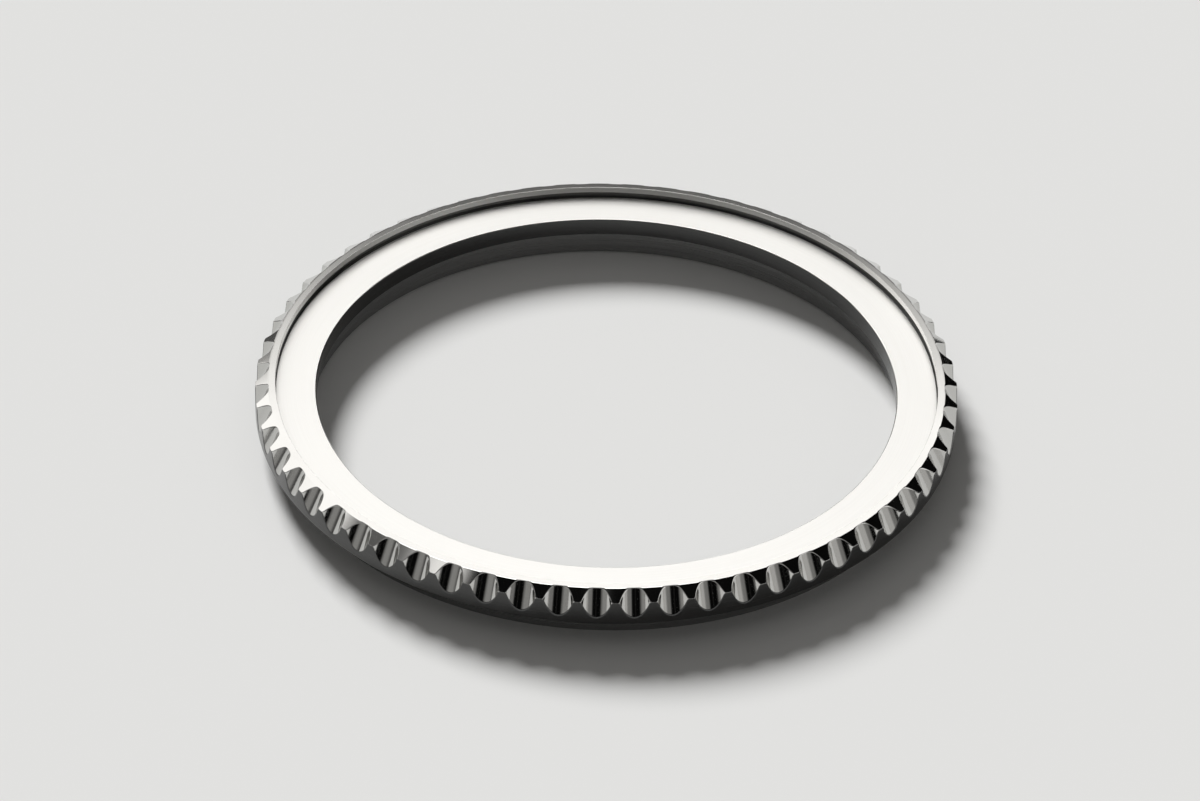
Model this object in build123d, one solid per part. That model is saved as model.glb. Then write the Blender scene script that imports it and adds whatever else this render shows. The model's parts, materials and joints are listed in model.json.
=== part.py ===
from build123d import *
import math
import os

# Rotating watch bezel. A fluted steel ring turns round a base ring that presses on the
# watch case's neck. A toothed click ring under the seat rides over sprung plungers.
# Millimetres. +Z up. The origin is the middle of the base ring's underside.
# The ring's seat is bare: no insert is fitted.

# Openings and the base ring, from the middle outwards
seat_bore_r = 16.50        # opening that the crystal stands in
neck_step = 0.45           # the case's neck is wider than that opening by this
pocket_wall = 0.165        # base ring's wall each side of its plugs
flange_h = 0.45            # foot under the bezel's skirt
flange_inset = 0.12        # foot's edge inside the skirt's lower edge
neck_lead_in = 0.10        # bevel at the neck bore's lower edge
running_gap = 0.07         # base ring's outer wall to the skirt

# Fluted bezel ring
recess_step = 0.45         # skirt's inner wall to the wall that an insert sits inside
lip_w = 0.39               # top of the raised lip, across
lip_h = 0.71               # lip above the seat
chamfer_w = 0.76           # lip's edge out to the ridges
chamfer_h = 0.51           # lip's top down to the ridges
ridge_h = 1.40              # upright wall below the chamfer
skirt_foot_w = 0.47        # skirt's wall at its lower edge, where it tapers in to under the upright wall
skirt_lift = 0.17          # skirt's lower edge above the flange
seat_t = 0.50
seat_bevel = 0.04
relief_h = 0.34            # undercut at the foot of the lip's wall
relief_d = 0.10            # into the wall
relief_sink = 0.04         # undercut's floor below the seat
relief_lap = 0.02          # and its inner edge inside the wall
collar_w = 0.25            # thin collar that hangs round the opening
collar_gap = 0.05          # collar's lower edge above the base ring's top
edge_break = 0.05

# Flutes round the rim
flute_count = 60
land_w = 0.40              # ridge left between two flutes
flute_bite = 0.035         # how far a flute's floor cuts into the lip
flute_lean_deg = 27.5      # a flute's floor leans outward by this on its way down

# Click ring
tooth_count = 120
tooth_d = 0.20
click_ring_t = 0.30        # solid ring above the teeth
click_ring_gap = 0.40      # collar to the click ring's inner edge
click_ring_fit = 0.01
catch_run = 0.07           # slope of a tooth's steep side, along the circle
ramp_run = 0.26            # slope of its gentle side
ramp_room = 0.11           # extra width of a valley on its gentle side
crest_gap = 0.10           # tooth crests above the base ring

# Plungers: three round detents and one pawl, each on its own spring
detent_count = 3
nose_r = 0.28
nose_gap = 0.03            # nose to the sides and floor of a valley
head_r = 0.40
head_h = 0.25
stop_gap = 0.02            # head below its stop
slide_fit = 0.02           # plunger in its pocket and mouth
pocket_roof_t = 0.30
pawl_t = 0.44              # pawl's nose along the circle
pawl_w = 0.62              # and across it
pawl_tip_t = 0.16
pawl_ramp_h = 0.22

# Springs and pocket plugs
spring_wire_r = 0.05
spring_turns = 3
spring_side_gap = 0.06
spring_end_gap = 0.01
plug_r = 0.50
plug_t = 0.28
plug_recess = 0.02
plug_fit = 0.005

# Gaskets, retaining wire and wear band
gasket_r = 0.13
gasket_gap = 0.01          # gasket to the wall and foot that it lies against
gasket_room = 0.05         # free height over the dust gasket
gasket_side_gap = 0.02     # gasket to the walls of the groove under the foot
wire_r = 0.12
wire_gap = 0.02            # wire to the walls of its groove
wire_split_deg = 12.0
web_t = 0.10               # metal between one groove and the next
band_h = 0.25              # groove that holds the wear band
band_drop = 0.07           # that groove below the base ring's top
band_sink = 0.10
band_fit = 0.03            # band to the skirt
band_side_gap = 0.01
band_split_deg = 1.5

# Dowel pins between the click ring and the bezel ring
pin_count = 4
pin_r = 0.20
pin_depth = 0.22           # into each of the two rings
pin_end_gap = 0.02
pin_fit = 0.005

overrun = 0.50             # how far cutters pass the faces that they cut

# Radii worked out from the sizes above, from the middle outwards
neck_bore_r = seat_bore_r + neck_step
station_r = neck_bore_r + pocket_wall + plug_r
base_r = station_r + plug_r + pocket_wall
skirt_in_r = base_r + running_gap
skirt_foot_r = skirt_in_r + skirt_foot_w
flange_r = skirt_foot_r - flange_inset
recess_r = skirt_in_r + recess_step
lip_r = recess_r + lip_w
ridge_r = lip_r + chamfer_w
click_ring_in_r = seat_bore_r + collar_w + click_ring_gap
pin_circle_r = (click_ring_in_r + skirt_in_r) / 2
dust_gasket_r = base_r + gasket_gap + gasket_r
dust_room_r = dust_gasket_r + gasket_r + running_gap
base_groove_r = (station_r + plug_r + flange_r) / 2
base_groove_w = 2 * (gasket_r + gasket_side_gap)
wire_circle_r = base_r + running_gap / 2
wire_room = wire_r + wire_gap
pocket_r = head_r + slide_fit

# Heights, from the foot upwards
skirt_z = flange_h + skirt_lift
dust_gasket_z = flange_h + gasket_gap + gasket_r
dust_room_z = dust_gasket_z + gasket_r + gasket_room
wire_z = dust_room_z + web_t + wire_room
band_z = wire_z + wire_room + web_t
band_top_z = band_z + band_h
base_top_z = band_top_z + band_drop
crest_z = base_top_z + crest_gap
root_z = crest_z + tooth_d
ceiling_z = root_z + click_ring_t
seat_z = ceiling_z + seat_t
lip_z = seat_z + lip_h
collar_z = base_top_z + collar_gap

# Plungers and springs in their pockets
roof_z = base_top_z - pocket_roof_t
nose_top_z = root_z - nose_gap
head_top_z = roof_z - stop_gap
head_z = head_top_z - head_h
plug_top_z = plug_recess + plug_t
spring_base_z = plug_top_z + spring_end_gap
spring_top_z = head_z - spring_end_gap
station_angles = [90.0 * i for i in range(detent_count)]
pawl_angle = 270.0


def ring(points):
    """A full ring: the outline's points are (radius, height) pairs."""
    face = make_face(Plane.XZ * Polyline(*points, close=True))
    return revolve(face, Axis.Z, 360)


def round_cord(circle_r, height, cord_r, sweep_deg=360.0):
    """A round cord or wire bent to a circle, closed or split."""
    face = Plane.XZ * Pos(circle_r, height) * Circle(cord_r)
    return revolve(face, Axis.Z, sweep_deg)


def post(radius, low, high):
    """An upright cylinder on the Z axis between two heights."""
    return Pos(0, 0, low) * Cylinder(radius, high - low, align=(Align.CENTER, Align.CENTER, Align.MIN))


def at_station(angle, shape):
    """Puts a shape modelled on the Z axis at its place on the station circle."""
    return Rot(0, 0, angle) * Pos(station_r, 0, 0) * shape


def save(shape, node):
    shape.label = node
    export_step(shape, "parts/" + node + ".step")


def rim_outline():
    """The bezel ring's section before the flutes are cut, from the bore round to the bore."""
    chamfer_len = math.hypot(ridge_r - lip_r, chamfer_h)
    out_r = lip_r + edge_break * (ridge_r - lip_r) / chamfer_len
    out_z = lip_z - edge_break * chamfer_h / chamfer_len
    ridge_z = lip_z - chamfer_h
    wire_out_r = wire_circle_r + wire_room
    return [
        (seat_bore_r, seat_z - seat_bevel),
        (seat_bore_r + seat_bevel, seat_z),
        (recess_r - relief_lap, seat_z),
        (recess_r - relief_lap, seat_z - relief_sink),
        (recess_r + relief_d, seat_z - relief_sink),
        (recess_r + relief_d, seat_z + relief_h),
        (recess_r, seat_z + relief_h),
        (recess_r, lip_z - edge_break),
        (recess_r + edge_break, lip_z),
        (lip_r - edge_break, lip_z),
        (out_r, out_z),
        (ridge_r, ridge_z),
        (ridge_r, ridge_z - ridge_h),
        (skirt_foot_r, skirt_z),
        (dust_room_r, skirt_z),
        (dust_room_r, dust_room_z),
        (skirt_in_r, dust_room_z),
        (skirt_in_r, wire_z - wire_room),
        (wire_out_r, wire_z - wire_room),
        (wire_out_r, wire_z + wire_room),
        (skirt_in_r, wire_z + wire_room),
        (skirt_in_r, ceiling_z),
        (seat_bore_r + collar_w, ceiling_z),
        (seat_bore_r + collar_w, collar_z),
        (seat_bore_r, collar_z),
    ]


def flute_cutters():
    """Leaning round grooves that start at the lip and run out on the upright wall."""
    lean = math.radians(flute_lean_deg)
    floor_r = lip_r - flute_bite
    half_turn = math.pi / flute_count - land_w / (2 * ridge_r)
    mouth_x = ridge_r * math.cos(half_turn) - floor_r
    mouth_y = ridge_r * math.sin(half_turn)
    depth = mouth_x * math.cos(lean) - chamfer_h * math.sin(lean)
    flute_r = (depth ** 2 + mouth_y ** 2) / (2 * depth)
    reach = (ridge_r - floor_r) / math.sin(lean) + overrun
    wheel = Pos(flute_r, 0, 0) * post(flute_r, -reach, overrun)
    cutter = Pos(floor_r, 0, lip_z) * Rot(0, -flute_lean_deg, 0) * wheel
    return [Rot(0, 0, 360 / flute_count * i) * cutter for i in range(flute_count)]


def pin_holes(low, high):
    hole = post(pin_r, low, high)
    return PolarLocations(pin_circle_r, pin_count, start_angle=180.0 / pin_count) * hole


def make_bezel_ring():
    blank = ring(rim_outline())
    return blank - flute_cutters() - pin_holes(ceiling_z - overrun, ceiling_z + pin_depth)


def valley_cutter():
    """A straight valley between two teeth: steep on one side, gentle on the other."""
    catch = nose_r + nose_gap
    ramp = catch + ramp_room
    widen = overrun / tooth_d
    outline = Polyline(
        (-catch - catch_run * widen, crest_z - overrun),
        (ramp + ramp_run * widen, crest_z - overrun),
        (ramp - ramp_run, root_z),
        (-catch + catch_run, root_z),
        close=True,
    )
    start = Plane(origin=(click_ring_in_r - overrun, 0, 0), x_dir=(0, 1, 0), z_dir=(1, 0, 0))
    return extrude(start * make_face(outline), skirt_in_r - click_ring_in_r + 2 * overrun)


def make_click_ring():
    out_r = skirt_in_r - click_ring_fit
    blank = ring([
        (click_ring_in_r, crest_z),
        (out_r, crest_z),
        (out_r, ceiling_z),
        (click_ring_in_r, ceiling_z),
    ])
    valley = valley_cutter()
    valleys = [Rot(0, 0, 360 / tooth_count * i) * valley for i in range(tooth_count)]
    return blank - valleys - pin_holes(ceiling_z - pin_depth, ceiling_z + overrun)


def make_click_ring_pins():
    reach = pin_depth - pin_end_gap
    pin = post(pin_r - pin_fit, ceiling_z - reach, ceiling_z + reach)
    return Compound(children=[
        Rot(0, 0, 180.0 / pin_count + 360 / pin_count * i) * Pos(pin_circle_r, 0, 0) * pin
        for i in range(pin_count)
    ])


def base_outline():
    """The base ring's section before its pockets are cut."""
    groove_in_r = base_groove_r - base_groove_w / 2
    groove_out_r = base_groove_r + base_groove_w / 2
    wire_in_r = wire_circle_r - wire_room
    band_in_r = base_r - band_sink
    return [
        (neck_bore_r + neck_lead_in, 0),
        (groove_in_r, 0),
        (groove_in_r, base_groove_w),
        (groove_out_r, base_groove_w),
        (groove_out_r, 0),
        (flange_r, 0),
        (flange_r, flange_h),
        (base_r, flange_h),
        (base_r, wire_z - wire_room),
        (wire_in_r, wire_z - wire_room),
        (wire_in_r, wire_z + wire_room),
        (base_r, wire_z + wire_room),
        (base_r, band_z),
        (band_in_r, band_z),
        (band_in_r, band_top_z),
        (base_r, band_top_z),
        (base_r, base_top_z),
        (neck_bore_r, base_top_z),
        (neck_bore_r, neck_lead_in),
    ]


def pocket():
    """One blind pocket, bored from below, with a wider seat for its plug."""
    return post(plug_r, -overrun, plug_top_z) + post(pocket_r, 0, roof_z)


def make_base_ring():
    blank = ring(base_outline())
    round_mouth = post(nose_r + slide_fit, 0, base_top_z + overrun)
    pawl_mouth = Pos(0, 0, roof_z) * Box(
        pawl_w + 2 * slide_fit,
        pawl_t + 2 * slide_fit,
        base_top_z - roof_z + overrun,
        align=(Align.CENTER, Align.CENTER, Align.MIN),
    )
    cuts = [at_station(angle, pocket() + round_mouth) for angle in station_angles]
    cuts.append(at_station(pawl_angle, pocket()))
    cuts.append(at_station(pawl_angle, pawl_mouth))
    return blank - cuts


def make_detent():
    """A headed plunger with a round nose."""
    head = post(head_r, head_z, head_top_z)
    stem = post(nose_r, head_z, nose_top_z - nose_r)
    nose = Pos(0, 0, nose_top_z - nose_r) * Sphere(nose_r)
    return head + stem + nose


def make_pawl():
    """A headed plunger whose nose is a chisel: upright where it catches, sloped behind."""
    half = pawl_t / 2
    outline = Polyline(
        (-half, head_z),
        (half, head_z),
        (half, nose_top_z - pawl_ramp_h),
        (pawl_tip_t - half, nose_top_z),
        (-half, nose_top_z),
        close=True,
    )
    side = Plane(origin=(-pawl_w / 2, 0, 0), x_dir=(0, 1, 0), z_dir=(1, 0, 0))
    return post(head_r, head_z, head_top_z) + extrude(side * make_face(outline), pawl_w)


def make_spring():
    """A coil spring between a plug and a plunger's head."""
    coil_r = head_r - spring_side_gap - spring_wire_r
    low = spring_base_z + spring_wire_r
    height = spring_top_z - spring_wire_r - low
    coil = Helix(height / spring_turns, height, coil_r)
    section = Plane(origin=coil @ 0, z_dir=coil % 0) * Circle(spring_wire_r)
    wire_len = spring_turns * math.hypot(2 * math.pi * coil_r, height / spring_turns)
    body = sweep(section, path=coil, is_frenet=True)
    print("spring volume", round(body.volume, 6), "of", round(math.pi * spring_wire_r ** 2 * wire_len, 6))
    return Pos(0, 0, low) * body


def make_wear_band():
    inner = base_r - band_sink
    outer = skirt_in_r - band_fit
    low = band_z + band_side_gap
    high = band_top_z - band_side_gap
    outline = Polyline((inner, low), (outer, low), (outer, high), (inner, high), close=True)
    face = make_face(Plane.XZ * outline)
    return revolve(face, Axis.Z, 360 - band_split_deg)


def make_dust_gasket():
    return round_cord(dust_gasket_r, dust_gasket_z, gasket_r)


def make_base_gasket():
    return round_cord(base_groove_r, base_groove_w - gasket_gap - gasket_r, gasket_r)


def main():
    os.makedirs("parts", exist_ok=True)
    save(make_base_ring(), "base_ring")
    save(make_wear_band(), "wear_band")
    save(make_dust_gasket(), "dust_gasket")
    save(make_base_gasket(), "base_gasket")
    save(round_cord(wire_circle_r, wire_z, wire_r, 360 - wire_split_deg), "retaining_wire")
    save(make_bezel_ring(), "bezel_ring")
    save(make_click_ring(), "click_ring")
    save(make_click_ring_pins(), "click_ring_pins")
    spring = make_spring()
    plug = post(plug_r - plug_fit, plug_recess, plug_top_z)
    detent = make_detent()
    for i, angle in enumerate(station_angles):
        number = str(i + 1)
        save(at_station(angle, detent), "detent_plunger_" + number)
        save(at_station(angle, spring), "detent_spring_" + number)
        save(at_station(angle, plug), "detent_plug_" + number)
    save(at_station(pawl_angle, make_pawl()), "click_pawl")
    save(at_station(pawl_angle, spring), "pawl_spring")
    save(at_station(pawl_angle, plug), "pawl_plug")
    print("height", round(lip_z, 3), "plunger travel needed", round(nose_top_z - crest_z, 3))


main()
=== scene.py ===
# %% [markdown]
# # A rotating watch bezel
#
# A watch bezel is the ring round the crystal. This one turns: a fluted steel ring runs on a
# base ring that is pressed on the case, and a toothed ring under its seat clicks over sprung
# plungers. Its seat is bare, as it is before an insert is glued in.
#
# The CAD model comes in as a fixed frame, in metres, with its origin in the middle of the base
# ring's underside. Hidden pieces keep their CAD meshes and get finishes, and only the springs
# among them are copied. The fluted ring is nearly all that shows, and polished steel shows every
# facet, so it is made again here as a finer surface.

# %% Load the frame
import json
import math

import bmesh
import bpy
import numpy as np
from mathutils import Matrix, Vector

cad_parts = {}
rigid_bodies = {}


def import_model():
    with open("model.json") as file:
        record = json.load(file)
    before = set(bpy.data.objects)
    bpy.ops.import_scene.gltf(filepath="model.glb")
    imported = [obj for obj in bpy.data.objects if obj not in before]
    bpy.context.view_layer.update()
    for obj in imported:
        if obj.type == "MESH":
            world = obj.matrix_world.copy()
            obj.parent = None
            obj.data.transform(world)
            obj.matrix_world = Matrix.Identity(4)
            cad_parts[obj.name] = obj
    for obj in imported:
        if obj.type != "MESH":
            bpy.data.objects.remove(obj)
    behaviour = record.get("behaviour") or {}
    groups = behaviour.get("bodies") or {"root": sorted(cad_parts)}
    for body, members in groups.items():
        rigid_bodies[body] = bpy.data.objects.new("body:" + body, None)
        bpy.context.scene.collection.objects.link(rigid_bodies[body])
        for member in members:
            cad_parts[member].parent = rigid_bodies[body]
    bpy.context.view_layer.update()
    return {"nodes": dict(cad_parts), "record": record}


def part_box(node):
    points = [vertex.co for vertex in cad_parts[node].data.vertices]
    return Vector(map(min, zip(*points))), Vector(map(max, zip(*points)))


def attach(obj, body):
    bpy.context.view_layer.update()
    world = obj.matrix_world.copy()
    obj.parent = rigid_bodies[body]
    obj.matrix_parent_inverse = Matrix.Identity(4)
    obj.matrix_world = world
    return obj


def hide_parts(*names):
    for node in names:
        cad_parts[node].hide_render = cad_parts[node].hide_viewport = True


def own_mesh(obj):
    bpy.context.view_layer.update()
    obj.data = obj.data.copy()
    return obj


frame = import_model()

mm = 0.001

# %% [markdown]
# ## The fluted ring's section
#
# On the real ring a lathe cuts the section: a thin collar round the opening, a flat seat, a
# small relief at the foot of the lip's inner wall, a raised lip, a cone that falls to the
# widest radius, an upright wall, and a skirt that tapers in to the foot. The lip's top isn't
# quite flat: it falls by a hair to its outer edge, as a buffed rim does, and in polished steel
# that is enough to change what it mirrors.
#
# It could be a spun profile with a Bevel modifier, but the flutes would then need a boolean,
# and a boolean leaves long thin triangles that polished steel shows. Here the section is a
# list of corners, and the flutes come in later, column by column.
#
# Sizes that other pieces depend on are read from the frame, and the rest are named.

# %% Sizes of the fluted ring
mounts = {mount["name"]: mount for mount in frame["record"]["mounts"]}
bore_r = mounts["crystal_opening"]["dims"]["r_mm"] * mm
recess_r = mounts["insert_recess"]["dims"]["r_mm"] * mm
seat_z = mounts["insert_seat"]["pos_m"][2]
foot_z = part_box("bezel_ring")[0][2]
lip_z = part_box("bezel_ring")[1][2]
ceiling_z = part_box("click_ring")[1][2]

seat_bevel = 0.04 * mm
relief_h = 0.34 * mm
relief_d = 0.10 * mm
relief_sink = 0.04 * mm
relief_lap = 0.02 * mm
lip_w = 0.39 * mm
lip_fall = 0.02 * mm
edge_break = 0.05 * mm
chamfer_w = 0.76 * mm
chamfer_h = 0.51 * mm
wall_h = 1.40 * mm
collar_w = 0.25 * mm
collar_gap = 0.05 * mm
skirt_in_r = 18.35 * mm
skirt_foot_w = 0.47 * mm
dust_room_w = 0.27 * mm
dust_room_h = 0.15 * mm
wire_room = 0.14 * mm
wire_sink = 0.105 * mm

lip_r = recess_r + lip_w
ridge_r = lip_r + chamfer_w
ridge_z = lip_z - chamfer_h
skirt_foot_r = skirt_in_r + skirt_foot_w
collar_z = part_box("base_ring")[1][2] + collar_gap
wire_low, wire_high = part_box("retaining_wire")
wire_z = (wire_low[2] + wire_high[2]) / 2
cad_ridge_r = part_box("bezel_ring")[1][0]
print("widest radius in mm:", round(ridge_r / mm, 3), "CAD:", round(cad_ridge_r / mm, 3))

# %% The corners of the section, in order
chamfer_len = math.hypot(chamfer_w, chamfer_h)
break_r = lip_r + edge_break * chamfer_w / chamfer_len
break_z = lip_z - edge_break * chamfer_h / chamfer_len

INNER_CORNERS = [
    (bore_r, collar_z),
    (bore_r, seat_z - seat_bevel),
    (bore_r + seat_bevel, seat_z),
    (recess_r - relief_lap, seat_z),
    (recess_r - relief_lap, seat_z - relief_sink),
    (recess_r + relief_d, seat_z - relief_sink),
    (recess_r + relief_d, seat_z + relief_h),
    (recess_r, seat_z + relief_h),
    (recess_r, lip_z),
]
OUTER_CORNERS = [
    (lip_r - edge_break, lip_z - lip_fall),
    (break_r, break_z),
    (ridge_r, ridge_z),
    (ridge_r, ridge_z - wall_h),
    (skirt_foot_r, foot_z),
]
HIDDEN_CORNERS = [
    (skirt_in_r + dust_room_w, foot_z),
    (skirt_in_r + dust_room_w, foot_z + dust_room_h),
    (skirt_in_r, foot_z + dust_room_h),
    (skirt_in_r, wire_z - wire_room),
    (skirt_in_r + wire_sink, wire_z - wire_room),
    (skirt_in_r + wire_sink, wire_z + wire_room),
    (skirt_in_r, wire_z + wire_room),
    (skirt_in_r, ceiling_z),
    (bore_r + collar_w, ceiling_z),
    (bore_r + collar_w, collar_z),
]
SECTION = np.array(INNER_CORNERS + OUTER_CORNERS + HIDDEN_CORNERS)
print("corners in the section:", len(SECTION))

# %% Sides that are needed by name: side s runs from corner s to the next
BORE_SIDE = 0
SEAT_SIDE = 2
SINK_SIDE = SEAT_SIDE + 1
LIP_TOP_SIDE = len(INNER_CORNERS) - 1
RELIEF_TOP_SIDE = LIP_TOP_SIDE - 2
CONE_SIDE = LIP_TOP_SIDE + 2
WALL_SIDE = CONE_SIDE + 1
SKIRT_SIDE = WALL_SIDE + 1
print("the cone runs from", (SECTION[CONE_SIDE] / mm).round(3).tolist(),
      "to", (SECTION[WALL_SIDE] / mm).round(3).tolist())

# %% [markdown]
# ## Rounded corners without a bevel
#
# Each side of the section gives two rows of points, a hair in from its corners, and both rows
# carry that side's own normal. The narrow strip left at each corner then swings from one
# normal to the next, which the eye reads as a small polished round. A Bevel modifier does the
# same by adding rows, but it can't be told what the normals are where flutes cut the cone.

# %% Rows: two for each side of the section
corner_round = 0.016 * mm


def side_rows(corners, inset):
    """Rows and normals of a closed outline.

    A side from P to Q with unit direction t gives P + inset t and Q - inset t. Its normal is t
    turned a quarter turn to the left, which is the outside, as the outline runs with the
    metal on its right. Short sides use a quarter of their length as the inset.
    """
    after = np.roll(corners, -1, axis=0)
    run = after - corners
    length = np.hypot(run[:, 0], run[:, 1])[:, None]
    along = run / length
    step = np.minimum(inset, length / 4)
    points = np.stack([corners + along * step, after - along * step], axis=1).reshape(-1, 2)
    outward = np.stack([-along[:, 1], along[:, 0]], axis=1)
    return points, np.repeat(outward, 2, axis=0)


row_points, row_normals = side_rows(SECTION, corner_round)
print("rows:", len(row_points))

# %% [markdown]
# ## The flutes
#
# A round wheel grinds each flute along a leaning line: the flute starts at the lip, and its
# floor runs outward on the way down until it leaves the metal on the upright wall. So a flute
# is part of a leaning cylinder. Two things that show give its size: its floor starts a hair
# inside the lip's edge, and a narrow land is left on the widest radius between neighbours.
# Where the cylinder meets the cone it draws the arched top, and where it meets the wall it
# draws the round foot. Together they are the almond that the eye sees. The lean also tips the
# mirror inside each flute up by the same angle, so it shows the room and not the spot of table
# under it.
#
# Each column keeps one offset along the rim, so it runs down the flute's own straight lines.

# %% Sizes of a flute
flute_count = 60
land_w = 0.40 * mm
flute_bite = 0.035 * mm
flute_lean = math.radians(27.5)
flute_round = 0.07 * mm
lip_margin = 0.003 * mm

out_per_drop = math.tan(flute_lean)
cone_per_drop = chamfer_w / chamfer_h
floor_r = lip_r - flute_bite
half_pitch = math.pi / flute_count
half_mouth = half_pitch - land_w / (2 * ridge_r)
mouth_y = ridge_r * math.sin(half_mouth)
mouth_depth = ((ridge_r * math.cos(half_mouth) - floor_r) * math.cos(flute_lean)
               - chamfer_h * math.sin(flute_lean))
flute_r = (mouth_depth ** 2 + mouth_y ** 2) / (2 * mouth_depth)
print("flute radius in mm:", round(flute_r / mm, 3), "mouth:", round(2 * mouth_y / mm, 3))

# %% Columns: round one flute and the land beside it
arc_columns = 21
land_columns = 3
pitch_columns = arc_columns + land_columns
head_passes = 6


def flute_columns():
    """Columns inside a flute: swing, offset y, distance out at the lip's height, and both ends.

    With a the swing round the leaning cylinder, y is flute_r sin a, and the distance out at the
    lip's height is floor_r + flute_r (1 - cos a) / cos(lean). It grows by tan(lean) for each
    unit of drop. The foot is the drop at which it reaches the wall. The head is the drop at
    which it meets the cone, found by putting the last answer back in: the cone's distance out
    is its radius less a small sag for y. Near the middle the flute starts inside the lip's
    edge, so the head's drop stays at 0.
    """
    most = math.asin(mouth_y / flute_r)
    swing = np.linspace(-most, most, arc_columns)
    aside = flute_r * np.sin(swing)
    start = floor_r + flute_r * (1 - np.cos(swing)) / math.cos(flute_lean)
    foot = (np.sqrt(ridge_r ** 2 - aside ** 2) - start) / out_per_drop
    head = np.zeros(arc_columns)
    for _ in range(head_passes):
        cone_r = lip_r + cone_per_drop * head
        sag = cone_r - np.sqrt(cone_r ** 2 - aside ** 2)
        head = np.maximum(start + sag - lip_r, 0) / (cone_per_drop - out_per_drop)
    return swing, aside, start, head, np.maximum(foot, head)


swing, aside, start_out, head_drop, foot_drop = flute_columns()
print("a flute runs out at a drop of mm:", round(foot_drop.max() / mm, 3))

# %% [markdown]
# ## From section to surface
#
# The surface is a grid of rows and columns. Rows of the lip and the cone keep their radius
# unless the flute's head is nearer: then they are held just inside it, and their height is
# read off the section at that radius. Where a flute starts a hair inside the lip's edge, the
# rows stop at that edge instead, because the lip is buffed last and its edge is a full circle.
#
# Two more rows, the flute's own, go in between the cone and the wall, and carry the leaning
# cylinder's normals. The strips left open between those rows and their neighbours are the
# buffed round of the flute's edge. On a land the two rows lie in the ridge's corner.

# %% Lay the section's rows over one pitch
FLUTE_ROW = 2 * CONE_SIDE + 2
ARC = slice(0, arc_columns)
LAND = slice(arc_columns, pitch_columns)


def flute_point(drop):
    """Angle and radius of the flute's surface at a drop below the lip, for every column."""
    out = start_out + out_per_drop * drop
    return np.arctan2(aside, out), np.hypot(aside, out)


def spread_rows(points):
    """Angle, radius and height of every row, with two rows put in for the flute.

    A land's columns share the land's width evenly. In a flute the rows above it stand at the
    angle of the column's head, and the rows below it at the angle of its foot.
    """
    first = half_mouth + flute_round / ridge_r
    own = np.insert(points, [FLUTE_ROW, FLUTE_ROW], points[FLUTE_ROW - 1], axis=0)
    radius = np.repeat(own[:, 0][:, None], pitch_columns, axis=1)
    height = np.repeat(own[:, 1][:, None], pitch_columns, axis=1)
    angle = np.empty(radius.shape)
    angle[:, LAND] = np.linspace(first, 2 * half_pitch - first, land_columns)
    angle[:FLUTE_ROW, ARC] = flute_point(head_drop)[0]
    angle[FLUTE_ROW:, ARC] = flute_point(foot_drop)[0]
    return angle, radius, height


def hold_at_heads(radius, height):
    """Holds the rows of the lip and the cone inside the flute's head.

    The limit is the head's radius, or the lip's where that is larger, less a margin. The margin
    grows with the head's drop from lip_margin to flute_round, and each row stays an eighth of
    it further in than the row below. The height is the section's at the radius that is left.
    """
    over = SECTION[LIP_TOP_SIDE:WALL_SIDE + 1]
    edge_r = np.maximum(flute_point(head_drop)[1], lip_r)
    margin = np.minimum(flute_round, lip_margin + head_drop)
    for row in range(2 * LIP_TOP_SIDE, FLUTE_ROW):
        limit = edge_r - margin - margin / 8 * (FLUTE_ROW - 1 - row)
        radius[row, ARC] = np.minimum(radius[row, ARC], limit)
        height[row] = np.interp(radius[row], over[:, 0], over[:, 1])


angle, radius, height = spread_rows(row_points)
hold_at_heads(radius, height)
print("points in one pitch:", radius.size)


# %% Put in the flute's own rows
def lay_flute_rows(angle, radius, height):
    """Lays the flute's two rows on its cylinder, one round's width in from its head and foot.

    That width is at most a quarter of the flute's height in the column. The wall's first row
    starts one width below the foot. On a land each of the two rows lies a third of the way
    from the ridge's corner to the row beside it.
    """
    edge = np.minimum(flute_round, (foot_drop - head_drop) / 4)
    for row, drop in ((FLUTE_ROW, head_drop + edge), (FLUTE_ROW + 1, foot_drop - edge)):
        angle[row, ARC], radius[row, ARC] = flute_point(drop)
        height[row, ARC] = lip_z - drop
    height[FLUTE_ROW + 2, ARC] = lip_z - foot_drop - flute_round
    for row, beside in ((FLUTE_ROW, FLUTE_ROW - 1), (FLUTE_ROW + 1, FLUTE_ROW + 2)):
        radius[row, LAND] = ridge_r + (radius[beside, LAND] - ridge_r) / 3
        height[row, LAND] = ridge_z + (height[beside, LAND] - ridge_z) / 3


def pitch_normals(normals, angle):
    """Normals of every point of one pitch.

    A row's normal (out, up) becomes (out cos angle, out sin angle, up). On a land the two rows
    put in have the cone's and the wall's normals mixed two to one and one to two. In a flute
    they have the cylinder's: (cos a cos(lean), -sin a, cos a sin(lean)) at the swing a.
    """
    cone, wall = normals[FLUTE_ROW - 1], normals[FLUTE_ROW]
    mixed = np.array([2 * cone + wall, cone + 2 * wall])
    turned = np.insert(normals, [FLUTE_ROW, FLUTE_ROW], cone, axis=0)
    turned[[FLUTE_ROW, FLUTE_ROW + 1]] = mixed / np.linalg.norm(mixed, axis=1)[:, None]
    out, up = turned[:, 0][:, None], turned[:, 1][:, None]
    facing = np.stack([out * np.cos(angle), out * np.sin(angle),
                       np.repeat(up, pitch_columns, axis=1)], axis=2)
    facing[FLUTE_ROW:FLUTE_ROW + 2, ARC] = np.stack(
        [np.cos(swing) * math.cos(flute_lean), -np.sin(swing),
         np.cos(swing) * math.sin(flute_lean)], axis=1)
    return facing


lay_flute_rows(angle, radius, height)
facing = pitch_normals(row_normals, angle)
print("normals in one pitch:", facing.shape[0] * facing.shape[1])


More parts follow.
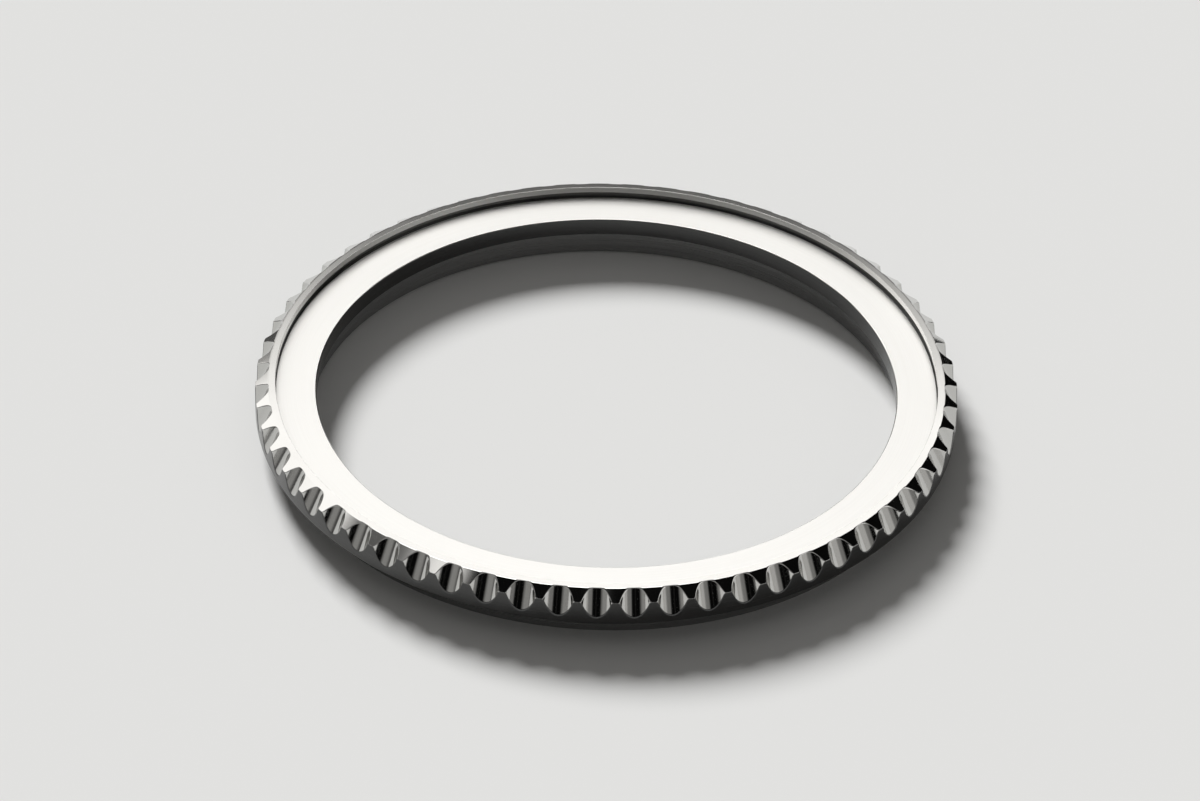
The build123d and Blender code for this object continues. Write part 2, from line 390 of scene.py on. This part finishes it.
# %% Repeat the pitch round the rim
def round_the_rim(angle, radius, height, facing):
    """The pitch's points and normals, repeated with a turn of one pitch each."""
    points = np.stack([radius * np.cos(angle), radius * np.sin(angle), height], axis=2)
    turns = []
    for i in range(flute_count):
        c, s = math.cos(2 * half_pitch * i), math.sin(2 * half_pitch * i)
        turns.append(np.array([[c, s, 0], [-s, c, 0], [0, 0, 1]]))
    return (np.concatenate([points @ turn for turn in turns], axis=1),
            np.concatenate([facing @ turn for turn in turns], axis=1))


rim_points, rim_normals = round_the_rim(angle, radius, height, facing)
print("points:", rim_points.shape[0] * rim_points.shape[1])


# %% Put the grid into a mesh
def ring_faces(rows, columns):
    """Quads of a grid that closes both ways, wound so that they face out of the metal."""
    row, column = np.meshgrid(np.arange(rows), np.arange(columns), indexing="ij")
    below, beside = (row + 1) % rows, (column + 1) % columns
    corners = [row * columns + column, below * columns + column,
               below * columns + beside, row * columns + beside]
    return np.stack(corners, axis=2).reshape(-1, 4)


def in_scene(name, data):
    """A new object in the scene for a mesh, a light or a camera."""
    made = bpy.data.objects.new(name, data)
    bpy.context.scene.collection.objects.link(made)
    return made


def grid_object(name, points, normals):
    """A closed grid as an object, shaded smooth with its own normals."""
    faces = ring_faces(*points.shape[:2])
    mesh = bpy.data.meshes.new(name)
    mesh.from_pydata(points.reshape(-1, 3).tolist(), [], faces.tolist())
    mesh.shade_smooth()
    mesh.normals_split_custom_set_from_vertices(normals.reshape(-1, 3).tolist())
    return in_scene(name, mesh)


fluted_ring = grid_object("fluted_ring", rim_points, rim_normals)
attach(fluted_ring, "bezel")
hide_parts("bezel_ring")
print("triangles:", 2 * len(fluted_ring.data.polygons))

# %% [markdown]
# ## Finishes
#
# Steel has no colour pattern of its own: what tells a turned seat from a polished cone is
# how rough it is and which way its fine lines run. A flat roughness looks like plastic wrap,
# so every finish of the object varies its roughness and carries a faint bump. Image textures
# would need a layout on each part; noise read from object coordinates needs none, and it
# stays with the part when the part moves.
#
# The ring is one steel, but its five finishes differ in base colour by more than their making
# explains. Those colours are chosen to bring each side near the brightness that it has in the
# photograph, so the differences are painted light and shade: the seat's pale colour is painted
# light, and the darker flutes, wall, skirt, opening and relief are painted shade.


# %% Helpers that wire up nodes
def node(tree, kind, *inputs, **settings):
    """Adds a node. Inputs go in order: a socket is linked, a value is set, None is passed over."""
    new = tree.nodes.new(kind)
    for name, value in settings.items():
        setattr(new, name, value)
    for socket, value in zip(new.inputs, inputs):
        if isinstance(value, bpy.types.NodeSocket):
            tree.links.new(value, socket)
        elif value is not None:
            socket.default_value = value
    return new


def math_node(tree, operation, *inputs):
    """The result of one sum of the Math node."""
    return node(tree, "ShaderNodeMath", *inputs, operation=operation).outputs[0]


def span(tree, value, low, high, to_low, to_high):
    """Value from low to high becomes to_low to to_high, and stays there beyond."""
    return node(tree, "ShaderNodeMapRange", value, low, high, to_low, to_high).outputs[0]


def finish_base(name, colour, roughness, metallic):
    """A material with plain values, its nodes, its shader and a socket of object coordinates."""
    material = bpy.data.materials.new(name)
    material.use_nodes = True
    tree = material.node_tree
    shader = tree.nodes["Principled BSDF"]
    shader.inputs["Base Color"].default_value = (*colour, 1)
    shader.inputs["Roughness"].default_value = roughness
    shader.inputs["Metallic"].default_value = metallic
    place = node(tree, "ShaderNodeTexCoord").outputs["Object"]
    return material, tree, shader, place


print("node helpers are ready")

# %% Helpers for the lines that tools leave
wall_factor = 1.7


def turned_lines(tree, place, pitch, along):
    """Coordinates for lines that run round the axis, pitch apart.

    With r the distance from the axis, they are (x / r, y / r) times along and
    (r + wall_factor z) / pitch: slow round the ring, quick from one line to the next, on flats
    and walls alike.
    """
    x, y, z = node(tree, "ShaderNodeSeparateXYZ", place).outputs
    x_squared = math_node(tree, "MULTIPLY", x, x)
    y_squared = math_node(tree, "MULTIPLY", y, y)
    r = math_node(tree, "SQRT", math_node(tree, "ADD", x_squared, y_squared))
    east = math_node(tree, "MULTIPLY", math_node(tree, "DIVIDE", x, r), along)
    north = math_node(tree, "MULTIPLY", math_node(tree, "DIVIDE", y, r), along)
    reach = math_node(tree, "MULTIPLY_ADD", z, wall_factor, r)
    step = math_node(tree, "MULTIPLY", reach, 1 / pitch)
    return node(tree, "ShaderNodeCombineXYZ", east, north, step).outputs[0]


def straight_lines(tree, place, sizes):
    """Object coordinates divided by three sizes, for lines along the largest of them."""
    scale = tuple(1 / size for size in sizes)
    return node(tree, "ShaderNodeVectorMath", place, scale, operation="MULTIPLY").outputs[0]


def noise(tree, vector, size=1.0, detail=3.0):
    """Noise from 0 to 1 with blotches of about that size, in the units of the coordinates."""
    return node(tree, "ShaderNodeTexNoise", vector, None, 1 / size, detail).outputs["Fac"]


print("line helpers are ready")


# %% Helpers that let a pattern drive the shader
noise_low, noise_high = 0.3, 0.7


def roughen(tree, shader, value, smooth, rough, low=noise_low, high=noise_high):
    """The roughness goes from smooth to rough as value goes from low to high.

    Noise seldom leaves the middle of its range, so low and high are the ends of that middle.
    """
    tree.links.new(span(tree, value, low, high, smooth, rough), shader.inputs["Roughness"])


def tint(tree, shader, value, dark, light):
    """The base colour swings between two colours with value."""
    mix = node(tree, "ShaderNodeMix", value, None, None, None, None, None,
               (*dark, 1), (*light, 1), data_type="RGBA")
    tree.links.new(mix.outputs[2], shader.inputs["Base Color"])


def bump(tree, shader, height, depth):
    """A bump of that depth in metres from a height that runs 0 to 1."""
    made = node(tree, "ShaderNodeBump", 1.0, depth)
    tree.links.new(height, made.inputs["Height"])
    tree.links.new(made.outputs[0], shader.inputs["Normal"])


def grain(tree, shader, value, roughness, colours, depth):
    """One pattern drives roughness, colour and bump, each between its two ends."""
    roughen(tree, shader, value, *roughness)
    tint(tree, shader, value, *colours)
    bump(tree, shader, value, depth)


print("finish helpers are ready, for noise from", noise_low, "to", noise_high)

# %% [markdown]
# ### The seat: fine circular grain
#
# The seat is faced on a lathe and will be hidden by the insert, so it keeps its turning
# lines. They are a few hundredths of a millimetre apart, faint, and run round the ring.
# Slightly rougher bands from pass to pass keep the white reflection from being a flat patch.
# Its base colour is the palest of the five and paler than the other steels: painted light, so that
# the seat shows nearly white.

# %% Seat steel
# Painted light: the seat's base colour and its grain's two colours are paler than the other
# steels, so the seat shows near white.
seat_steel, tree, shader, place = finish_base("seat_steel", (0.83, 0.83, 0.82), 0.44, 1.0)
fine = noise(tree, turned_lines(tree, place, 0.03 * mm, 2.0), detail=4.0)
bands = noise(tree, turned_lines(tree, place, 0.4 * mm, 1.2), detail=2.0)
roughen(tree, shader, bands, 0.44, 0.52)
tint(tree, shader, fine, (0.79, 0.785, 0.77), (0.87, 0.87, 0.86))
bump(tree, shader, fine, 0.0006 * mm)
print("seat_steel:", len(tree.nodes), "nodes")

# %% [markdown]
# ### The lip and the cone: polish
#
# These are buffed last. Polish isn't perfect: it keeps a little haze and hairline scuffs from
# handling, which show only where a dark and a light reflection meet.

# %% Polished steel
polished_steel, tree, shader, place = finish_base("polished_steel", (0.69, 0.69, 0.68), 0.08, 1.0)
haze = noise(tree, place, 2.5 * mm)
scuffs = noise(tree, turned_lines(tree, place, 0.06 * mm, 9.0))
roughen(tree, shader, haze, 0.05, 0.12, low=0.35)
tint(tree, shader, haze, (0.70, 0.70, 0.69), (0.67, 0.665, 0.65))
bump(tree, shader, scuffs, 0.0002 * mm)
print("polished_steel:", len(tree.nodes), "nodes")

# %% [markdown]
# ### The wall and the skirt: turned, left dull and painted with shade
#
# The mop only brushes over the wall between the flutes, and it doesn't reach the skirt below them
# or the wall of the opening. So all three keep their turning lines and are duller than the cone
# above them. They show nearly black, where clean steel would mirror the pale floor, so their base
# colour is the darkest of the five: painted shade, which stands for the shade and dark reflections
# on these sides.

# %% Skirt steel
# Painted shade: the base colour and the grain's colours are far darker than steel, so the wall,
# the skirt and the opening's wall show nearly black.
skirt_steel, tree, shader, place = finish_base("skirt_steel", (0.09, 0.09, 0.09), 0.2, 1.0)
passes = noise(tree, turned_lines(tree, place, 0.05 * mm, 2.0))
grain(tree, shader, passes, (0.16, 0.28), ((0.07, 0.07, 0.07), (0.11, 0.11, 0.108)), 0.0004 * mm)
print("skirt_steel:", len(tree.nodes), "nodes")

# %% [markdown]
# ### The relief: as the tool left it, with painted shade
#
# The narrow relief at the foot of the lip's inner wall is too deep for the mop, so it is even
# duller than the outer wall. It shows as a dark line along the back of the seat, and its dark base
# colour is painted shade for the shade in that recess. A base colour as dark as the outer wall's
# made that line too strong, so this one is a shade lighter.

# %% Relief steel
# Painted shade: the base colour and the grain's colours are dark, for the shade inside the relief.
relief_steel, tree, shader, place = finish_base("relief_steel", (0.17, 0.17, 0.17), 0.3, 1.0)
passes = noise(tree, turned_lines(tree, place, 0.04 * mm, 2.0))
grain(tree, shader, passes, (0.24, 0.38), ((0.14, 0.14, 0.14), (0.20, 0.20, 0.195)), 0.0004 * mm)
print("relief_steel:", len(tree.nodes), "nodes")

# %% [markdown]
# ### The flutes: lines from the wheel
#
# The wheel runs down the flute, so its faint lines run down it too, and a little haze is left
# between them. It makes the reflections inside a flute a bit softer than on the lip, and a
# slightly darker base colour, which is painted shade, makes them a bit dimmer.

# %% Flute steel
# Painted shade: the base colour and the grain's colours are darker than the lip's, so the flutes
# show dimmer.
flute_steel, tree, shader, place = finish_base("flute_steel", (0.58, 0.58, 0.56), 0.08, 1.0)
wheel_lines = noise(tree, straight_lines(tree, place, (0.05 * mm, 0.05 * mm, 2.0 * mm)))
grain(tree, shader, wheel_lines, (0.06, 0.12), ((0.55, 0.545, 0.52), (0.61, 0.61, 0.60)),
      0.0002 * mm)
print("flute_steel:", len(tree.nodes), "nodes")

# %% Give each side of the fluted ring its finish
RING_FINISHES = (polished_steel, seat_steel, flute_steel, skirt_steel, relief_steel)
POLISHED, SEAT, FLUTE, SKIRT, RELIEF = range(len(RING_FINISHES))
for finish in RING_FINISHES:
    fluted_ring.data.materials.append(finish)


def flat_row(side):
    """The faces of side s are row 2 s, or two more past the flute's own rows.

    The next row of faces is the round of the corner after it.
    """
    return 2 * side + (2 if side > CONE_SIDE else 0)


rows, columns = rim_points.shape[:2]
face_row = np.repeat(np.arange(rows), columns)
face_column = np.tile(np.arange(columns) % pitch_columns, rows)
on_seat = face_row == flat_row(SEAT_SIDE)
in_flute = (face_row == FLUTE_ROW) & (face_column < arc_columns - 1)
on_wall = (face_row > FLUTE_ROW) & (face_row <= flat_row(SKIRT_SIDE) + 1)
in_opening = face_row <= flat_row(BORE_SIDE) + 1
in_relief = (face_row > flat_row(SINK_SIDE)) & (face_row <= flat_row(RELIEF_TOP_SIDE))
# The wall, the skirt and the opening's wall take the steel painted with shade, and the relief
# takes a lighter painted shade.
finish_index = np.select([on_seat, in_flute, on_wall | in_opening, in_relief],
                         [SEAT, FLUTE, SKIRT, RELIEF], POLISHED)
fluted_ring.data.polygons.foreach_set("material_index", finish_index.astype(np.int32))
print("faces by finish:", np.bincount(finish_index).tolist())

# %% [markdown]
# ### Pieces inside
#
# Hidden pieces get the finish that their making gives them: turned steel for the base ring, ground
# steel for the click ring, plungers and pins, drawn wire for the springs, turned brass for the
# plugs, a moulded polymer band and rubber cords. They show from below, and when someone takes the
# model apart. The base ring's steel is darker than the other steels: that darkness is painted
# shade, for the dark band under the ring and inside its opening.

# %% Turned, ground and drawn metal
# Painted shade: the base ring's colours are darker than steel, for the dark band under the ring
# and inside its opening. The turning grain is real.
base_steel, tree, shader, place = finish_base("base_steel", (0.34, 0.34, 0.34), 0.3, 1.0)
turning = noise(tree, turned_lines(tree, place, 0.05 * mm, 1.5))
grain(tree, shader, turning, (0.22, 0.38), ((0.30, 0.30, 0.31), (0.38, 0.38, 0.375)), 0.001 * mm)

hard_steel, tree, shader, place = finish_base("hard_steel", (0.55, 0.55, 0.56), 0.3, 1.0)
grinding = noise(tree, straight_lines(tree, place, (0.04 * mm, 0.4 * mm, 0.04 * mm)))
grain(tree, shader, grinding, (0.2, 0.36), ((0.50, 0.50, 0.51), (0.59, 0.59, 0.60)), 0.0008 * mm)

spring_steel, tree, shader, place = finish_base("spring_steel", (0.5, 0.5, 0.52), 0.25, 1.0)
drawing = noise(tree, place, 0.08 * mm, 4.0)
grain(tree, shader, drawing, (0.18, 0.34), ((0.43, 0.43, 0.46), (0.55, 0.55, 0.56)), 0.0008 * mm)

plug_brass, tree, shader, place = finish_base("plug_brass", (0.72, 0.58, 0.3), 0.3, 1.0)
tarnish = noise(tree, place, 0.25 * mm, 4.0)
grain(tree, shader, tarnish, (0.24, 0.42), ((0.62, 0.47, 0.22), (0.76, 0.62, 0.34)), 0.0015 * mm)
print("metals for the inside are made")

# %% Moulded polymer and rubber
band_polymer, tree, shader, place = finish_base("band_polymer", (0.85, 0.83, 0.78), 0.5, 0.0)
mould = noise(tree, place, 0.1 * mm, 4.0)
grain(tree, shader, mould, (0.42, 0.6), ((0.80, 0.78, 0.72), (0.88, 0.86, 0.82)), 0.002 * mm)

gasket_rubber, tree, shader, place = finish_base("gasket_rubber", (0.05, 0.05, 0.05), 0.6, 0.0)
bloom = noise(tree, place, 0.2 * mm, 4.0)
grain(tree, shader, bloom, (0.5, 0.75), ((0.035, 0.035, 0.036), (0.075, 0.075, 0.072)), 0.003 * mm)
print("polymer and rubber are made")

# %% Dress the CAD pieces
FINISHES = {
    "base_steel": base_steel,
    "hard_steel": hard_steel,
    "spring_steel": spring_steel,
    "plug_brass": plug_brass,
    "band_polymer": band_polymer,
    "gasket_rubber": gasket_rubber,
    "bezel_steel": polished_steel,
}
for part in frame["record"]["subparts"]:
    piece = frame["nodes"][part["node"]]
    piece.data.materials.clear()
    piece.data.materials.append(FINISHES[part["material_slot"]])

# %% [markdown]
# ### Springs
#
# Each coil spring stands on a plug that stays and carries a plunger that dips. A rigid spring
# would poke into the plunger's head. Each spring gets a copy of its own, merged and shaded smooth,
# on its joint's parent, and the CAD spring is hidden.

# %% Spring copies, on their joints' parents
merge_gap = 0.0001 * mm


def merged_copy(source, name):
    """A copy of a CAD piece with its loose triangles joined and shaded smooth."""
    work = bmesh.new()
    work.from_mesh(source.data)
    bmesh.ops.remove_doubles(work, verts=work.verts, dist=merge_gap)
    bmesh.ops.recalc_face_normals(work, faces=work.faces)
    mesh = bpy.data.meshes.new(name)
    work.to_mesh(mesh)
    work.free()
    mesh.shade_smooth()
    return in_scene(name, mesh)


for joint in frame["record"]["behaviour"]["joints"]:
    for soft in joint.get("deforming_nodes", []):
        coil = merged_copy(frame["nodes"][soft["node"]], soft["node"] + "_coil")
        coil.data.materials.append(spring_steel)
        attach(coil, joint["parent"])
        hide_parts(soft["node"])
        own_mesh(coil)

# %% [markdown]
# ## The studio
#
# Polished steel is only as good as what it mirrors. A photographer puts a large soft light
# behind the ring, so that the flat seat throws it at the lens, and black cards where an edge
# should be dark. The cards could be planes round the ring, but they would show in other
# views. Here they are drawn on the sky that mirror rays see, by bearing and height, and the
# floor and the camera see a plain pale room.

# %% An empty sky, and where a ray looks in it
world = bpy.data.worlds.new("studio")
bpy.context.scene.world = world
world.use_nodes = True
sky = world.node_tree
sky.nodes.clear()
toward = node(sky, "ShaderNodeTexCoord").outputs["Generated"]
toward_x, toward_y, toward_z = node(sky, "ShaderNodeSeparateXYZ", toward).outputs
elevation = math_node(sky, "DEGREES", math_node(sky, "ARCSINE", toward_z))
print("the sky has", len(sky.nodes), "nodes")


# %% Sky: a soft light and black cards
def mix_levels(share, off, on):
    """The level off where share is 0, on where it is 1, and their mix in between."""
    return node(sky, "ShaderNodeMix", share, None, off, on, data_type="FLOAT").outputs[0]


def sky_card(below, bearing, half_width, low, high, level, soft):
    """Lays a card of one brightness over what is below it, with soft edges, all in degrees.

    Bearings run clockwise from +Y. The sky's direction is turned so that the card's middle is
    at zero, and the card's cover is the product of three ramps: one in bearing, two in height.
    """
    c, s = math.cos(math.radians(bearing)), math.sin(math.radians(bearing))
    ahead = math_node(sky, "ADD", math_node(sky, "MULTIPLY", toward_x, s),
                      math_node(sky, "MULTIPLY", toward_y, c))
    beside = math_node(sky, "SUBTRACT", math_node(sky, "MULTIPLY", toward_x, c),
                       math_node(sky, "MULTIPLY", toward_y, s))
    swung = math_node(sky, "DEGREES", math_node(sky, "ARCTAN2", beside, ahead))
    off = math_node(sky, "ABSOLUTE", swung)
    wide = span(sky, off, half_width - soft, half_width + soft, 1.0, 0.0)
    foot = span(sky, elevation, low - soft, low + soft, 0.0, 1.0)
    head = span(sky, elevation, high - soft, high + soft, 1.0, 0.0)
    cover = math_node(sky, "MULTIPLY", math_node(sky, "MULTIPLY", wide, foot), head)
    return mix_levels(cover, below, level)


room_level = 0.25
CARDS = [
    # bearing, half width, low, high, level, softness
    (0, 180, 56, 100, 0.004, 6),      # black ceiling, over the cone at the front
    (0, 180, -16, 28, 0.09, 8),       # dim walls of the room
    (96, 28, 42, 78, 0.003, 5),       # black cards on the right, for the cone there
    (66, 22, 33, 66, 0.003, 5),
    (45, 22, -16, 48, 0.003, 4),
    (104, 28, -16, 28, 0.56, 9),      # pale card on the right
    (140, 13, -16, 28, 0.24, 7),      # and its dim edge
    (234, 20, -16, 28, 0.33, 8),      # smaller one on the left
    (180, 26, -16, 28, 0.002, 4),     # black gap between them, where the camera stands
    (177, 2, -16, 28, 0.02, 2),       # with a faint line of light in it
    (108, 24, 16, 32, 1.1, 4),        # strip light for the flutes' buffed edges
    (180, 60, 32, 44, 0.34, 5),       # pale wall behind the camera
    (-48, 22, 10, 38, 1.42, 5),       # lower half of the soft light
    (-22, 65, 33.5, 88, 1.42, 4),     # the soft light, behind and to the left
    (-20, 48, 58, 88, 4.6, 6),        # its bright top, which only a matt surface gathers
    (-88, 10, 52, 62, 0.25, 4),       # notch in its edge
    (-82, 13, 45, 55, 0.13, 2),       # and the notch's lower half
    (-102, 9, 58, 68, 1.3, 3),        # its upper corner at the front left
]
mirrored = room_level
for card in CARDS:
    mirrored = sky_card(mirrored, *card)
print("sky cards:", len(CARDS))

# %% Who sees which sky
fill_level = 0.16
background_level = 0.9
air_colour = (1.0, 0.985, 0.96, 1)
rays = node(sky, "ShaderNodeLightPath").outputs
plain = mix_levels(rays["Is Camera Ray"], fill_level, background_level)
seen = mix_levels(rays["Is Glossy Ray"], plain, mirrored)
air = node(sky, "ShaderNodeBackground", air_colour, seen)
node(sky, "ShaderNodeOutputWorld", air.outputs[0])
print("room level in mirrors:", room_level, "fill:", fill_level)

# %% [markdown]
# ### Floor and key light
#
# The floor is one large square a hair below the ring's foot. Its paint is pale and quite matt,
# so that it shows the ring's shadow and no image of its own. A sun lamp casts that shadow. A
# lamp's bright disc would show in the steel as well, so this one is hidden from mirror rays,
# which see the soft light in the sky instead.

# %% Floor
floor_drop = 0.005 * mm
floor_half = 3.0
floor_mesh = bpy.data.meshes.new("floor")
floor_corners = [(x * floor_half, y * floor_half, -floor_drop)
                 for x, y in ((-1, -1), (1, -1), (1, 1), (-1, 1))]
floor_mesh.from_pydata(floor_corners, [], [(0, 1, 2, 3)])
floor = in_scene("floor", floor_mesh)
floor_paint, _, shader, _ = finish_base("floor_paint", (0.80, 0.80, 0.79), 0.9, 0.0)
shader.inputs["Specular IOR Level"].default_value = 0.0
floor_mesh.materials.append(floor_paint)
print("floor in m:", 2 * floor_half)

# %% Key light
key = bpy.data.lights.new("key", "SUN")
key.energy = 4.3
key.angle = math.radians(20)
key_bearing, key_elevation = math.radians(-24), math.radians(35)
key_light = in_scene("key", key)
key_light.rotation_euler = (math.pi / 2 - key_elevation, 0, math.pi - key_bearing)
key_light.visible_glossy = False
print("key light's strength:", key.energy)

# %% [markdown]
# ## The camera
#
# The photograph was taken with a long lens from about 37 degrees above the table, so the
# ring's far side is hardly smaller than its near side. The lens and the tilt come from
# fitting circles of known height to the edges in the picture: from 22 times the opening's
# radius away, that radius measures 290 pixels. The small shift and roll place the ring as it
# lies in the frame.

# %% Camera
photo_w, photo_h = 1200, 801
away_in_radii = 22
opening_r_px = 290.26
ring_px = (606.6, 387.0)
camera_elevation = math.radians(36.70)
camera_bearing = math.radians(-89.27)
camera_roll = math.radians(1.43)
sensor_w = 36.0

camera_data = bpy.data.cameras.new("camera")
camera_data.sensor_width = sensor_w
camera_data.lens = opening_r_px * away_in_radii / photo_w * sensor_w
camera_data.shift_x = (photo_w / 2 - ring_px[0]) / photo_w
camera_data.shift_y = (ring_px[1] - photo_h / 2) / photo_w
camera_data.clip_start = 0.01
camera_data.clip_end = 50.0
camera = in_scene("camera", camera_data)
camera_away = away_in_radii * bore_r
flat = camera_away * math.cos(camera_elevation)
camera.location = (flat * math.cos(camera_bearing), flat * math.sin(camera_bearing),
                   seat_z + camera_away * math.sin(camera_elevation))
look = Vector((0, 0, seat_z)) - camera.location
turn = look.to_track_quat("-Z", "Y").to_matrix() @ Matrix.Rotation(camera_roll, 3, "Z")
camera.rotation_euler = turn.to_euler()
bpy.context.scene.camera = camera
bpy.context.scene.view_settings.view_transform = "Standard"
print("lens in mm:", round(camera_data.lens, 1))
